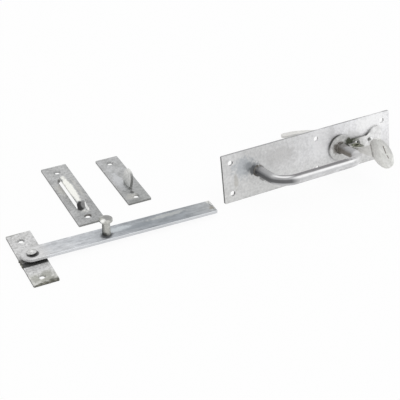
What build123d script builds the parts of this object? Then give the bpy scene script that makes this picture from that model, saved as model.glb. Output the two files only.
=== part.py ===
# Suffolk latch: handle set, latch bar set, keeper and catch
# Millimetres. X runs along the latch bar, +Z is up, and the origin is the
# bottom centre of everything, laid out side by side.
import math
import os

from build123d import *

# Fits
bar_running_gap = 0.08
lever_running_gap = 0.08
loose_gap = 0.3
side_gap = 0.4
stack_gap = 0.1

# Sheet and screw holes of the three flat plates
flat_sheet = 2.0
screw_hole_radius = 2.5
screw_sink_radius = 3.7
plate_corner_radius = 0.8

# Pivot plate and latch bar
pivot_x = -193.6
pivot_y = -47.6
pivot_width = 24.0
pivot_length = 82.8
pivot_overhang = 1.1
pivot_hole_spacing = 60.0
pivot_hole_shift = -1.0
bar_width = 19.6
bar_thickness = 3.0
bar_reach = 183.0
bar_turn = -1.16
spacer_height = 2.5
spacer_radius = 8.0
bar_rivet_radius = 3.0
bar_rivet_head_radius = 4.6
bar_rivet_head_height = 2.0
bar_rivet_rim_height = 1.5
knob_from_rivet = 72.5
knob_stem_radius = 4.1
knob_neck_radius = 3.7
knob_stem_height = 14.0
knob_head_radius = 6.4
knob_head_height = 2.2
knob_dome_height = 1.4
knob_tenon_radius = 2.6

# Keeper
keeper_x = -123.7
keeper_y = 37.7
keeper_width = 27.0
keeper_length = 112.0
keeper_hole_spacing = 88.0
slot_width = 10.6
slot_length = 67.0
strap_width = 8.6
strap_top_length = 51.0
strap_rise = 6.9
strap_bend_radius = 3.5
strap_shift = -1.0

# Catch
catch_x = -68.1
catch_y = 40.0
catch_width = 24.3
catch_length = 90.0
catch_hole_spacing = 69.0
hook_thickness = 3.0
hook_far_y = -6.2
hook_base = 14.6
hook_height = 21.8
hook_nose = 26.4
hook_notch = 3.0
hook_tenon_length = 12.0

# Handle plate, standing on its long edge and leaning back
handle_corner = (5.7, -45.6, 0.48)
handle_turn = 1.93
handle_lean = 11.1
handle_sheet = 2.5
handle_length = 200.0
handle_height = 50.0
handle_hole_radius = 2.7
handle_hole_inset = 9.3
handle_hole_offset = 16.1
handle_middle_inset = 91.0
grip_radius = 5.0
grip_near_leg = 40.5
grip_far_inset = 63.0
grip_standoff = 42.0
grip_bend_radius = 17.0
weld_width = 1.2

# Thumb lever and its bracket
bracket_sheet = 3.0
bracket_eye_radius = 13.6
bracket_waist_half = 5.5
bracket_tab_neck = 31.0
bracket_tab_flare = 9.5
bracket_tab_inset = 12.5
bracket_tab_half = 12.0
bracket_rivet_inset = 26.0
bracket_rivet_radius = 2.0
bracket_rivet_head = 3.2
bracket_rivet_dome = 2.0
lug_radius = 6.6
lever_thickness = 4.0
lever_width = 9.6
lever_from_leg = 13.0
lever_pivot_out = 11.0
lever_pin_radius = 3.0
lever_pin_bore = 2.2
lever_pin_head = 3.9
lever_pin_lip = 0.6
lever_eye_radius = 6.8
tail_thickness = 2.5
tail_arc_back = 24.2
tail_arc_radius = 40.4
tail_sweep = 86.5
lever_slot_before = 5.6
lever_slot_after = 10.3
pad_radius = 16.6
pad_thickness = 2.4
pad_dish_radius = 80.0
pad_from_pivot = 6.5
pad_out = 42.8
pad_raise = 3.4
pad_roll = 12.2

os.makedirs("parts", exist_ok=True)

# Handle frame: x along the plate, y up the plate, z out of its front face
turn = math.radians(handle_turn)
lean = math.radians(handle_lean)
along = Vector(math.cos(turn), math.sin(turn), 0)
level_out = Vector(math.sin(turn), -math.cos(turn), 0)
outward = level_out * math.cos(lean) + Vector(0, 0, 1) * math.sin(lean)
upward = Vector(0, 0, 1) * math.cos(lean) - level_out * math.sin(lean)
face = Plane(origin=handle_corner, x_dir=along, z_dir=outward)
mid_height = handle_height / 2
grip_far_leg = handle_length - grip_far_inset
lever_pivot_x = grip_far_leg + lever_from_leg
lever_slot_start = lever_pivot_x - lever_slot_before
lever_slot_end = lever_pivot_x + lever_slot_after
bracket_rivet_x = handle_length - bracket_rivet_inset
middle_corner = Vector(*handle_corner) + upward * mid_height
section = Plane(origin=middle_corner, x_dir=along, z_dir=upward * -1)


def handle_point(x, out, up=0.0):
    return middle_corner + along * x + outward * out + upward * up


def dome_mid(radius, height):
    # Halfway point of a spherical dome's profile, measured from the rim's centre
    ball = (radius**2 + height**2) / (2 * height)
    half = math.asin(radius / ball) / 2
    return ball * math.sin(half), height - ball + ball * math.cos(half)


# Pivot plate
with BuildPart() as pivot_plate:
    with BuildSketch(Plane.XY):
        with Locations((pivot_x, pivot_y + pivot_overhang)):
            RectangleRounded(pivot_width, pivot_length, plate_corner_radius)
    extrude(amount=flat_sheet)
    with Locations((pivot_x + pivot_hole_shift, pivot_y, flat_sheet)):
        with GridLocations(0, pivot_hole_spacing, 1, 2):
            CounterSinkHole(screw_hole_radius, screw_sink_radius)
    with Locations((pivot_x, pivot_y, flat_sheet)):
        Hole(bar_rivet_radius + loose_gap)
pivot_plate.part.label = "pivot_plate"

# Spacer that lifts the bar off the plate
bar_bottom = flat_sheet + spacer_height + stack_gap
with BuildPart() as bar_spacer:
    with BuildSketch(Plane.XY.offset(flat_sheet)):
        with Locations((pivot_x, pivot_y)):
            Circle(spacer_radius)
            Circle(bar_rivet_radius + loose_gap, mode=Mode.SUBTRACT)
    extrude(amount=spacer_height)
    chamfer(bar_spacer.edges().filter_by(GeomType.CIRCLE).sort_by(SortBy.RADIUS)[-2:], 0.3)
bar_spacer.part.label = "bar_spacer"

# Latch bar, round at the rivet and square at the free end
bar_along = Vector(math.cos(math.radians(bar_turn)), math.sin(math.radians(bar_turn)), 0)
bar_plane = Plane(origin=(pivot_x, pivot_y, bar_bottom), x_dir=bar_along, z_dir=(0, 0, 1))
with BuildPart() as latch_bar:
    with BuildSketch(bar_plane):
        Circle(bar_width / 2)
        Rectangle(bar_reach, bar_width, align=(Align.MIN, Align.CENTER))
        Circle(bar_rivet_radius + bar_running_gap, mode=Mode.SUBTRACT)
        with Locations((knob_from_rivet, 0)):
            Circle(knob_tenon_radius + loose_gap, mode=Mode.SUBTRACT)
    extrude(amount=bar_thickness)
    free_end = latch_bar.edges().filter_by(Axis.Z).sort_by(Axis.X)[-2:]
    fillet(free_end, 1.0)
    chamfer(latch_bar.faces().sort_by(Axis.Z)[-1].outer_wire().edges(), 0.4)
latch_bar.part.label = "latch_bar"

# Rivet that the bar turns on
bar_top = bar_bottom + bar_thickness
rivet_head_base = bar_top + stack_gap
with BuildPart() as bar_rivet:
    with BuildSketch(Plane(origin=(pivot_x, pivot_y, 0), x_dir=(1, 0, 0), z_dir=(0, -1, 0))):
        with BuildLine():
            rim = rivet_head_base + bar_rivet_rim_height
            head_top = rivet_head_base + bar_rivet_head_height
            mid_x, mid_z = dome_mid(bar_rivet_head_radius, head_top - rim)
            Polyline(
                (0, 0),
                (bar_rivet_radius, 0),
                (bar_rivet_radius, rivet_head_base),
                (bar_rivet_head_radius, rivet_head_base),
                (bar_rivet_head_radius, rim),
            )
            ThreePointArc((bar_rivet_head_radius, rim), (mid_x, rim + mid_z), (0, head_top))
            Line((0, head_top), (0, 0))
        make_face()
    revolve(axis=Axis((pivot_x, pivot_y, 0), (0, 0, 1)))
bar_rivet.part.label = "bar_rivet"

# Knob riveted through the bar, lifted with a finger from inside
knob_foot = Vector(pivot_x, pivot_y, bar_top) + bar_along * knob_from_rivet
with BuildPart() as bar_knob:
    with BuildSketch(Plane(origin=knob_foot, x_dir=(1, 0, 0), z_dir=(0, -1, 0))):
        with BuildLine():
            head_base = knob_stem_height
            rim_top = head_base + knob_head_height
            crown = rim_top + knob_dome_height
            mid_x, mid_z = dome_mid(knob_head_radius, knob_dome_height)
            Polyline(
                (0, -bar_thickness),
                (knob_tenon_radius, -bar_thickness),
                (knob_tenon_radius, 0),
                (knob_stem_radius, 0),
                (knob_neck_radius, head_base - 1.4),
            )
            ThreePointArc(
                (knob_neck_radius, head_base - 1.4),
                (knob_neck_radius + 0.5, head_base - 0.5),
                (knob_neck_radius + 1.4, head_base),
            )
            Polyline(
                (knob_neck_radius + 1.4, head_base),
                (knob_head_radius - 0.5, head_base),
                (knob_head_radius, head_base + 0.6),
                (knob_head_radius, rim_top),
            )
            ThreePointArc((knob_head_radius, rim_top), (mid_x, rim_top + mid_z), (0, crown))
            Line((0, crown), (0, -bar_thickness))
        make_face()
    revolve(axis=Axis(knob_foot, (0, 0, 1)))
bar_knob.part.label = "bar_knob"

# Keeper: one plate with a strap lanced and drawn up for the bar to pass under
strap_foot = Plane(origin=(keeper_x, keeper_y + strap_shift, flat_sheet), x_dir=(0, 1, 0), z_dir=(0, 0, 1))
strap_side = Plane(origin=strap_foot.origin, x_dir=(0, 1, 0), z_dir=(1, 0, 0))
leg_slope = math.atan2(strap_rise, (slot_length - strap_top_length) / 2)
inner_foot = slot_length / 2 - flat_sheet / math.sin(leg_slope)
inner_top = strap_top_length / 2 - flat_sheet * math.tan(leg_slope / 2)
inner_rise = strap_rise - flat_sheet


def drawn_form(foot_half, top_half, rise, inset, bend_radius):
    # The bulge pressed up from a round-ended slot, its top corners bent to a radius
    with BuildPart() as form:
        foot_width = slot_width - 2 * inset
        with BuildSketch(strap_foot):
            RectangleRounded(2 * foot_half, foot_width, foot_width / 2 - 0.1)
        for share in (1, 0.5, 0):
            bend = share * leg_slope
            reach = top_half - bend_radius * (math.tan(leg_slope / 2) - math.sin(bend))
            level = rise - bend_radius * (1 - math.cos(bend))
            width = foot_width - (slot_width - strap_width) * level / rise
            with BuildSketch(strap_foot.offset(level)):
                RectangleRounded(2 * reach, width, 1.2)
        loft(ruled=True)
    return form.part


with BuildPart() as keeper_plate:
    with BuildSketch(Plane.XY):
        with Locations((keeper_x, keeper_y)):
            RectangleRounded(keeper_width, keeper_length, plate_corner_radius)
    extrude(amount=flat_sheet)
    with Locations((keeper_x, keeper_y, flat_sheet)):
        with GridLocations(0, keeper_hole_spacing, 1, 2):
            CounterSinkHole(screw_hole_radius, screw_sink_radius)
    add(drawn_form(slot_length / 2, strap_top_length / 2, strap_rise, 0.0, strap_bend_radius))
    inner_radius = strap_bend_radius - flat_sheet
    add(drawn_form(inner_foot, inner_top, inner_rise, flat_sheet, inner_radius), mode=Mode.SUBTRACT)
    shear_half = (slot_length - slot_width) / 2
    shear_level = inner_rise * (inner_foot - shear_half) / (inner_foot - inner_top)
    with BuildSketch(strap_side):
        Polygon(
            (-shear_half, -flat_sheet),
            (-shear_half, shear_level),
            (-inner_top, inner_rise),
            (inner_top, inner_rise),
            (shear_half, shear_level),
            (shear_half, -flat_sheet),
            align=None,
        )
    extrude(amount=slot_width / 2, both=True, mode=Mode.SUBTRACT)
    with BuildSketch(strap_foot):
        inner_width = slot_width - 2 * flat_sheet
        RectangleRounded(2 * inner_foot, inner_width, inner_width / 2 - 0.1)
    extrude(amount=-flat_sheet, mode=Mode.SUBTRACT)
keeper_plate.part.label = "keeper_plate"

# Catch plate with a slot for the hook's tenon
hook_mid_y = hook_far_y - hook_base / 2
with BuildPart() as catch_plate:
    with BuildSketch(Plane.XY):
        with Locations((catch_x, catch_y)):
            RectangleRounded(catch_width, catch_length, plate_corner_radius)
        with Locations((catch_x, catch_y + hook_mid_y)):
            Rectangle(
                hook_thickness + 2 * stack_gap,
                hook_tenon_length + 2 * stack_gap,
                mode=Mode.SUBTRACT,
            )
    extrude(amount=flat_sheet)
    with Locations((catch_x, catch_y, flat_sheet)):
        with GridLocations(0, catch_hole_spacing, 1, 2):
            CounterSinkHole(screw_hole_radius, screw_sink_radius)
catch_plate.part.label = "catch_plate"

# Hook: a leaf-shaped blade whose nose leans over a notch at its foot
hook_side = Plane(origin=(catch_x, catch_y, flat_sheet), x_dir=(0, 1, 0), z_dir=(1, 0, 0))
with BuildPart() as catch_hook:
    with BuildSketch(hook_side):
        with BuildLine():
            near_foot = hook_far_y - hook_base
            nose_tip = (near_foot - 2.1, hook_notch)
            Line((near_foot, 0), (hook_far_y, 0))
            Spline(
                (hook_far_y, 0),
                (hook_far_y + 0.7, 0.28 * hook_height),
                (hook_far_y - 2.4, 0.66 * hook_height),
                (hook_far_y - 10.0, 0.98 * hook_height),
                (-hook_nose + 4.2, 0.98 * hook_height),
                (-hook_nose, 0.76 * hook_height),
                (-hook_nose + 1.0, 0.5 * hook_height),
                nose_tip,
                tangents=((0.25, 1), (0.35, -1)),
            )
            Polyline(nose_tip, (near_foot - 0.6, hook_notch), (near_foot, hook_notch - 0.6))
            Line((near_foot, hook_notch - 0.6), (near_foot, 0))
        make_face()
        with Locations((hook_mid_y, -flat_sheet / 2)):
            Rectangle(hook_tenon_length, flat_sheet)
    extrude(amount=hook_thickness / 2, both=True)
    rim = catch_hook.faces().filter_by(Axis.X).sort_by(Axis.X)
    chamfer([e for e in rim[-1].edges() if e.center().Z > flat_sheet + 1.5], 0.5)
    rim = catch_hook.faces().filter_by(Axis.X).sort_by(Axis.X)
    chamfer([e for e in rim[0].edges() if e.center().Z > flat_sheet + 1.5], 0.5)
catch_hook.part.label = "catch_hook"

# Handle plate
with BuildPart() as handle_plate:
    with BuildSketch(face):
        with Locations((handle_length / 2, mid_height)):
            RectangleRounded(handle_length, handle_height, plate_corner_radius)
        middle_hole = handle_length - handle_middle_inset
        for hole_x in (handle_hole_inset, middle_hole, handle_length - handle_hole_inset):
            for hole_up in (-handle_hole_offset, handle_hole_offset):
                with Locations((hole_x, mid_height + hole_up)):
                    Circle(handle_hole_radius, mode=Mode.SUBTRACT)
        with Locations(((lever_slot_start + lever_slot_end) / 2, mid_height)):
            Rectangle(
                lever_slot_end - lever_slot_start,
                lever_thickness + 2 * side_gap,
                mode=Mode.SUBTRACT,
            )
        with Locations((bracket_rivet_x, mid_height)):
            Circle(bracket_rivet_radius + loose_gap, mode=Mode.SUBTRACT)
    extrude(amount=-handle_sheet)
handle_plate.part.label = "handle_plate"

# Pull handle of round bar, welded at both feet
with BuildPart() as pull_handle:
    with BuildLine(section):
        FilletPolyline(
            (grip_near_leg, 0),
            (grip_near_leg, grip_standoff),
            (grip_far_leg, grip_standoff),
            (grip_far_leg, 0),
            radius=grip_bend_radius,
        )
    with BuildSketch(face):
        with Locations((grip_near_leg, mid_height)):
            Circle(grip_radius)
    sweep()
    for leg_x, foot in ((grip_near_leg, 0.0), (grip_far_leg, bracket_sheet)):
        with BuildSketch(face.offset(foot)):
            with Locations((leg_x, mid_height)):
                Circle(grip_radius + weld_width)
        extrude(amount=weld_width, taper=40)
pull_handle.part.label = "pull_handle"

# Bracket: an eye round the handle's foot, a lug under the lever and a riveted tab
slot_half = lever_thickness / 2 + side_gap
tab_start = handle_length - bracket_tab_neck
tab_wide = tab_start + bracket_tab_flare
tab_end = handle_length - bracket_tab_inset
lug_start = grip_far_leg + grip_radius + weld_width + loose_gap
with BuildPart() as thumb_bracket:
    with BuildSketch(face):
        with Locations((0, mid_height)):
            with Locations((grip_far_leg, 0)):
                Circle(bracket_eye_radius)
            Polygon(
                (grip_far_leg, -bracket_waist_half),
                (tab_start, -bracket_waist_half),
                (tab_wide, -bracket_tab_half),
                (tab_end - 3.0, -bracket_tab_half),
                (tab_end, -bracket_tab_half + 3.0),
                (tab_end, bracket_tab_half - 3.0),
                (tab_end - 3.0, bracket_tab_half),
                (tab_wide, bracket_tab_half),
                (tab_start, bracket_waist_half),
                (grip_far_leg, bracket_waist_half),
                align=None,
            )
            with Locations((grip_far_leg, 0)):
                Circle(grip_radius + loose_gap, mode=Mode.SUBTRACT)
            with Locations((bracket_rivet_x, 0)):
                Circle(bracket_rivet_radius + loose_gap, mode=Mode.SUBTRACT)
            with Locations(((lever_slot_start + lever_slot_end) / 2, 0)):
                Rectangle(lever_slot_end - lever_slot_start, 2 * slot_half, mode=Mode.SUBTRACT)
    extrude(amount=bracket_sheet)
    with BuildSketch(section.offset(slot_half)):
        with Locations((lever_pivot_x, lever_pivot_out)):
            Circle(lug_radius)
        Polygon(
            (lug_start, 0.5),
            (lever_pivot_x + lug_radius + 1.0, 0.5),
            (lever_pivot_x + lug_radius, lever_pivot_out),
            (lever_pivot_x - lug_radius, lever_pivot_out),
            (lug_start, lever_pivot_out - lug_radius / 2),
            align=None,
        )
        with Locations((lever_pivot_x, lever_pivot_out)):
            Circle(lever_pin_radius + loose_gap, mode=Mode.SUBTRACT)
    extrude(amount=bracket_waist_half - slot_half)
thumb_bracket.part.label = "thumb_bracket"

# Rivet of the bracket's tab
with BuildPart() as bracket_rivet:
    with BuildSketch(section):
        with BuildLine():
            dome = bracket_sheet + bracket_rivet_dome
            mid_x, mid_out = dome_mid(bracket_rivet_head, bracket_rivet_dome)
            edge_x = bracket_rivet_x + bracket_rivet_head
            shank_x = bracket_rivet_x + bracket_rivet_radius
            Polyline(
                (bracket_rivet_x, -handle_sheet),
                (shank_x, -handle_sheet),
                (shank_x, bracket_sheet),
                (edge_x, bracket_sheet),
            )
            ThreePointArc(
                (edge_x, bracket_sheet),
                (bracket_rivet_x + mid_x, bracket_sheet + mid_out),
                (bracket_rivet_x, dome),
            )
            Line((bracket_rivet_x, dome), (bracket_rivet_x, -handle_sheet))
        make_face()
    revolve(axis=Axis(handle_point(bracket_rivet_x, 0), outward))
bracket_rivet.part.label = "bracket_rivet"

# Tubular pin through the lever and the lug, spread over at its top end
pin_axis = handle_point(lever_pivot_x, lever_pivot_out)
with BuildPart() as lever_pin:
    with BuildSketch(Plane(origin=pin_axis, x_dir=along, z_dir=outward)):
        Polygon(
            (0, -bracket_waist_half),
            (lever_pin_radius, -bracket_waist_half),
            (lever_pin_radius, lever_thickness / 2 + stack_gap),
            (lever_pin_head, lever_thickness / 2 + stack_gap),
            (lever_pin_head - 0.2, lever_thickness / 2 + stack_gap + 0.8 * lever_pin_lip),
            (lever_pin_head - 0.7, lever_thickness / 2 + stack_gap + lever_pin_lip),
            (lever_pin_bore + 0.4, lever_thickness / 2 + stack_gap + lever_pin_lip),
            (lever_pin_bore, lever_thickness / 2),
            (lever_pin_bore, -lever_thickness / 2),
            (0, -lever_thickness / 2),
            align=None,
        )
    revolve(axis=Axis(pin_axis, upward))
lever_pin.part.label = "lever_pin"

# Thumb lever: dished pad, eye, and a thin sickle tail that lifts the bar
pad_tilt = math.radians(pad_raise)
pad_turn = math.radians(pad_roll)
pad_along = outward * math.cos(pad_tilt) + along * math.sin(pad_tilt)
pad_level = along * math.cos(pad_tilt) - outward * math.sin(pad_tilt)
pad_up = pad_level * math.cos(pad_turn) + upward * math.sin(pad_turn)
pad_centre = handle_point(lever_pivot_x + pad_from_pivot, pad_out)
half_width = lever_width / 2
neck_out = lever_pivot_out + lug_radius + 1.0
neck_shift = 1.4
tail_arc_x = lever_pivot_x - tail_arc_radius
with BuildPart() as thumb_lever:
    with BuildSketch(section.offset(-lever_thickness / 2)):
        with BuildLine():
            arc_centre = (tail_arc_x, -tail_arc_back)
            tip_angle = math.radians(tail_sweep)
            tip_centre = (
                tail_arc_x + tail_arc_radius * math.cos(tip_angle),
                -tail_arc_back - tail_arc_radius * math.sin(tip_angle),
            )
            outer_start = (lever_pivot_x + half_width, -tail_arc_back)
            inner_start = (lever_pivot_x - half_width, -tail_arc_back)
            Line((outer_start[0], lever_pivot_out), outer_start)
            CenterArc(arc_centre, tail_arc_radius + half_width, 0, -tail_sweep)
            CenterArc(tip_centre, half_width, -tail_sweep, -180)
            CenterArc(arc_centre, tail_arc_radius - half_width, -tail_sweep, tail_sweep)
            Line(inner_start, (inner_start[0], lever_pivot_out))
            Line((inner_start[0], lever_pivot_out), (outer_start[0], lever_pivot_out))
        make_face()
    extrude(amount=lever_thickness)
    with BuildSketch(Plane(origin=middle_corner, x_dir=outward, z_dir=along * -1)):
        Polygon(
            (-handle_sheet - 4.0, -lever_thickness),
            (-handle_sheet - 4.0, -lever_thickness / 2),
            (-handle_sheet - 14.0, lever_thickness / 2 - tail_thickness),
            (-2 * tail_arc_radius, lever_thickness / 2 - tail_thickness),
            (-2 * tail_arc_radius, -lever_thickness),
            align=None,
        )
    extrude(amount=handle_length, both=True, mode=Mode.SUBTRACT)
    with BuildSketch(section.offset(-lever_thickness / 2)):
        with Locations((lever_pivot_x, lever_pivot_out)):
            Circle(lever_eye_radius)
        Polygon(
            (lever_pivot_x - half_width, lever_pivot_out),
            (lever_pivot_x + half_width, lever_pivot_out),
            (lever_pivot_x + neck_shift + half_width, neck_out),
            (lever_pivot_x + neck_shift - half_width, neck_out),
            align=None,
        )
    extrude(amount=lever_thickness)
    neck_centre = handle_point(lever_pivot_x + neck_shift, neck_out - 0.2)
    with BuildSketch(Plane(origin=neck_centre, x_dir=along, z_dir=outward)):
        Rectangle(lever_width, lever_thickness)
    spread_centre = pad_centre - pad_along * (pad_radius - 4.0)
    with BuildSketch(Plane(origin=spread_centre, x_dir=pad_up, z_dir=pad_along)):
        Rectangle(pad_thickness, 14.0)
    loft()
    with BuildSketch(Plane(origin=pad_centre, x_dir=pad_along, z_dir=pad_along.cross(pad_up))):
        with BuildLine():
            rim_drop = pad_dish_radius - math.sqrt(pad_dish_radius**2 - pad_radius**2)
            low = -pad_thickness / 2
            high = pad_thickness / 2
            mid_drop = pad_dish_radius - math.sqrt(pad_dish_radius**2 - (pad_radius / 2) ** 2)
            ThreePointArc((0, low), (pad_radius / 2, low + mid_drop), (pad_radius, low + rim_drop))
            Line((pad_radius, low + rim_drop), (pad_radius, high + rim_drop))
            ThreePointArc((pad_radius, high + rim_drop), (pad_radius / 2, high + mid_drop), (0, high))
            Line((0, high), (0, low))
        make_face()
    revolve(axis=Axis(pad_centre, pad_up))
    with BuildSketch(section):
        with Locations((lever_pivot_x, lever_pivot_out)):
            Circle(lever_pin_radius + lever_running_gap)
    extrude(amount=lever_thickness, both=True, mode=Mode.SUBTRACT)
thumb_lever.part.label = "thumb_lever"

# Export
export_step(pivot_plate.part, "parts/pivot_plate.step")
export_step(bar_spacer.part, "parts/bar_spacer.step")
export_step(latch_bar.part, "parts/latch_bar.step")
export_step(bar_rivet.part, "parts/bar_rivet.step")
export_step(bar_knob.part, "parts/bar_knob.step")
export_step(keeper_plate.part, "parts/keeper_plate.step")
export_step(catch_plate.part, "parts/catch_plate.step")
export_step(catch_hook.part, "parts/catch_hook.step")
export_step(handle_plate.part, "parts/handle_plate.step")
export_step(pull_handle.part, "parts/pull_handle.step")
export_step(thumb_bracket.part, "parts/thumb_bracket.step")
export_step(bracket_rivet.part, "parts/bracket_rivet.step")
export_step(lever_pin.part, "parts/lever_pin.step")
export_step(thumb_lever.part, "parts/thumb_lever.step")
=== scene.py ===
# %% [markdown]
# # Suffolk latch, hot-dip galvanised
# A Suffolk latch comes as four sets that are screwed to a door and its frame.
# All the steel shapes are solid models already, so this lesson spends its time
# on what makes them look like zinc: colour, spangle, wear, grime and welds.

# %% Load the solid frame
import math

import bmesh
import bpy
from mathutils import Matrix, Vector, noise


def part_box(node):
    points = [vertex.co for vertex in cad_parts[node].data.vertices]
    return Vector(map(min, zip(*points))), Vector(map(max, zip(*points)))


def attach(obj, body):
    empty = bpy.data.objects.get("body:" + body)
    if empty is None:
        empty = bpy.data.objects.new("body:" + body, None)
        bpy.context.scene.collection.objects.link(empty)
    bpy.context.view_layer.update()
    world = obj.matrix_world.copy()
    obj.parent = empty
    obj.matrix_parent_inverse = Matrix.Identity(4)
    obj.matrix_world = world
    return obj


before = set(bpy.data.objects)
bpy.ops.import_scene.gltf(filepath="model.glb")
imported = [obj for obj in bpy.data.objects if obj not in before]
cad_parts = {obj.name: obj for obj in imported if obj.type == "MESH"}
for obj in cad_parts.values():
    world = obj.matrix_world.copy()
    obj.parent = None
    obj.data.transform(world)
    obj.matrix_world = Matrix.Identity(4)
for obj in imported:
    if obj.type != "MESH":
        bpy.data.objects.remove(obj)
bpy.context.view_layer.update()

# %% [markdown]
# ## Where things are
# The marks on the zinc belong to places on the real pieces, such as a weld or a
# hole. They could be typed in as bare coordinates. They are worked out from the
# boxes of the solids instead, so each mark stays with the piece it belongs to.

# %% Places on the pieces
scene = bpy.context.scene
MM = 0.001
LEFT = Vector((-1, 0, 0))
RIGHT = Vector((1, 0, 0))
NEAR = Vector((0, -1, 0))
UP = Vector((0, 0, 1))


def corners(node):
    low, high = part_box(node)
    return Vector(low), Vector(high)


def middle(node):
    low, high = corners(node)
    return (low + high) / 2


def beside(place, x, y, z=0.0):
    # A place that is so many millimetres from another
    return place + Vector((x, y, z)) * MM


rivet = middle("bar_rivet")
knob = middle("bar_knob")
keeper = middle("keeper_plate")
catch = middle("catch_plate")
hook_low, hook_high = corners("catch_hook")
pivot_low, pivot_high = corners("pivot_plate")
bar_low, bar_high = corners("latch_bar")
print("rivet", rivet, "knob", knob)
print("keeper", keeper, "catch", catch)

# %% [markdown]
# The handle plate stands on its long edge, turned a little and leaning back.
# One helper turns a distance along the plate, out of it and up it into a place.
# Three directions of its own are easier to think in than the room's.

# %% The handle plate's own directions
HANDLE_TURN = math.radians(1.93)
HANDLE_LEAN = math.radians(11.1)
HANDLE_CORNER = Vector((5.7, -45.6, 0.48)) * MM
HANDLE_HALF_HEIGHT = 25 * MM
along = Vector((math.cos(HANDLE_TURN), math.sin(HANDLE_TURN), 0))
level_out = Vector((math.sin(HANDLE_TURN), -math.cos(HANDLE_TURN), 0))
outward = level_out * math.cos(HANDLE_LEAN) + Vector((0, 0, math.sin(HANDLE_LEAN)))
upward = Vector((0, 0, math.cos(HANDLE_LEAN))) - level_out * math.sin(HANDLE_LEAN)


def on_handle(x, out, up=0.0):
    # Millimetres from the plate's left end, its front face and its middle line
    start = HANDLE_CORNER + upward * HANDLE_HALF_HEIGHT
    return start + (along * x + outward * out + upward * up) * MM


plate_start = on_handle(0, 0)
lever_eye = on_handle(150, 11)
print("plate starts at", plate_start, "lever's eye at", lever_eye)

# %% [markdown]
# ## Camera
# The camera looks down from the left, at the angle of the photograph. A wide
# lens close by would bend the flat plates. A long one from further off keeps
# their edges nearly parallel, as the photograph does.

# %% Camera
CAMERA_PLACE = Vector((-0.3853, -0.7802, 0.5565))
CAMERA_YAW = math.radians(26.30)
CAMERA_PITCH = math.radians(33.52)
LENS_LENGTH = 91.43
SENSOR_WIDTH = 36.0

lens = bpy.data.cameras.new("photo_camera")
lens.lens = LENS_LENGTH
lens.sensor_width = SENSOR_WIDTH
lens.sensor_fit = "HORIZONTAL"
camera = bpy.data.objects.new("photo_camera", lens)
camera.location = CAMERA_PLACE
camera.rotation_euler = (math.pi / 2 - CAMERA_PITCH, 0, -CAMERA_YAW)
scene.collection.objects.link(camera)
scene.camera = camera
print("camera", tuple(round(v, 3) for v in camera.location))

# %% [markdown]
# ## Small tools for zinc
# A material in Blender is a little network. It could be wired by hand for every
# finish. These helpers each add one kind of node, so that the recipe further
# down reads like a list of what zinc has.

# %% Colour and node helpers
MIX_SHARE, MIX_UNDER, MIX_OVER, MIX_COLOUR = 0, 6, 7, 2


def tone(red, green=None, blue=None):
    # A colour as a picture shows it, 0 to 255, turned into Blender's linear light
    green = red if green is None else green
    blue = red if blue is None else blue
    return tuple((value / 255) ** 2.2 for value in (red, green, blue)) + (1.0,)


def put(tree, kind, **settings):
    made = tree.nodes.new(kind)
    for name, value in settings.items():
        setattr(made, name, value)
    return made


def feed(tree, socket, value):
    # Give a socket a plain value, or join it to another node's output
    if isinstance(value, bpy.types.NodeSocket):
        tree.links.new(value, socket)
    else:
        socket.default_value = value


def span(tree, value, low, high, at_low, at_high):
    # Stretch a value from one range to another and stop at its ends
    made = put(tree, "ShaderNodeMapRange")
    tree.links.new(value, made.inputs["Value"])
    limits = {"From Min": low, "From Max": high, "To Min": at_low, "To Max": at_high}
    for name, number in limits.items():
        made.inputs[name].default_value = number
    return made.outputs["Result"]


def maths(tree, how, first, second, third=None):
    made = put(tree, "ShaderNodeMath", operation=how)
    for socket, value in zip(made.inputs, (first, second, third)):
        if value is not None:
            feed(tree, socket, value)
    return made.outputs[0]


def blend(tree, share, under, over, how="MIX"):
    # Lay a second colour over the first by a share
    made = put(tree, "ShaderNodeMix", data_type="RGBA", blend_type=how)
    feed(tree, made.inputs[MIX_SHARE], share)
    feed(tree, made.inputs[MIX_UNDER], under)
    feed(tree, made.inputs[MIX_OVER], over)
    return made.outputs[MIX_COLOUR]


print("colour helpers ready, white is", tone(255))

# %% [markdown]
# Zinc has three patterns: cloudy patches, flat crystals and fine specks. Noise
# gives the clouds and specks, and Voronoi cells give the crystals. A photo of
# zinc could be wrapped round the pieces, but these never show a seam.

# %% Pattern helpers
ROUND = (1, 1, 1)


def grain(tree, place, scale, detail=3.0, stretch=ROUND):
    # Cloudy noise, drawn out along an axis where stretch is small
    mapping = put(tree, "ShaderNodeMapping")
    mapping.inputs["Scale"].default_value = stretch
    tree.links.new(place, mapping.inputs["Vector"])
    made = put(tree, "ShaderNodeTexNoise")
    made.inputs["Scale"].default_value = scale
    made.inputs["Detail"].default_value = detail
    tree.links.new(mapping.outputs["Vector"], made.inputs["Vector"])
    return made.outputs["Fac"]


def crystals(tree, place, scale):
    # The grey value of each zinc crystal
    made = put(tree, "ShaderNodeTexVoronoi")
    made.inputs["Scale"].default_value = scale
    tree.links.new(place, made.inputs["Vector"])
    parts = put(tree, "ShaderNodeSeparateColor")
    tree.links.new(made.outputs["Color"], parts.inputs["Color"])
    return parts.outputs["Red"]


def toward(tree, vector, direction, start, full):
    # How far a vector points one way: a surface's facing, or a place's distance
    dot = put(tree, "ShaderNodeVectorMath", operation="DOT_PRODUCT")
    dot.inputs[1].default_value = tuple(direction)
    tree.links.new(vector, dot.inputs[0])
    return span(tree, dot.outputs["Value"], start, full, 0.0, 1.0)


print("pattern helpers ready")

# %% [markdown]
# Marks such as a weld's soot, a zinc run, a painted shadow and a painted
# highlight sit at one place. They could be painted on an image, but then the
# pieces would need unwrapping first. Here a mark is a soft ball round its place,
# squeezed along any axis, and noise breaks up its rim.

# %% A mark at one place
NOISE_MIDDLE = 0.42
SHARPEST_RIM = 0.06
SOFTER_RIM = 0.3


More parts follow.
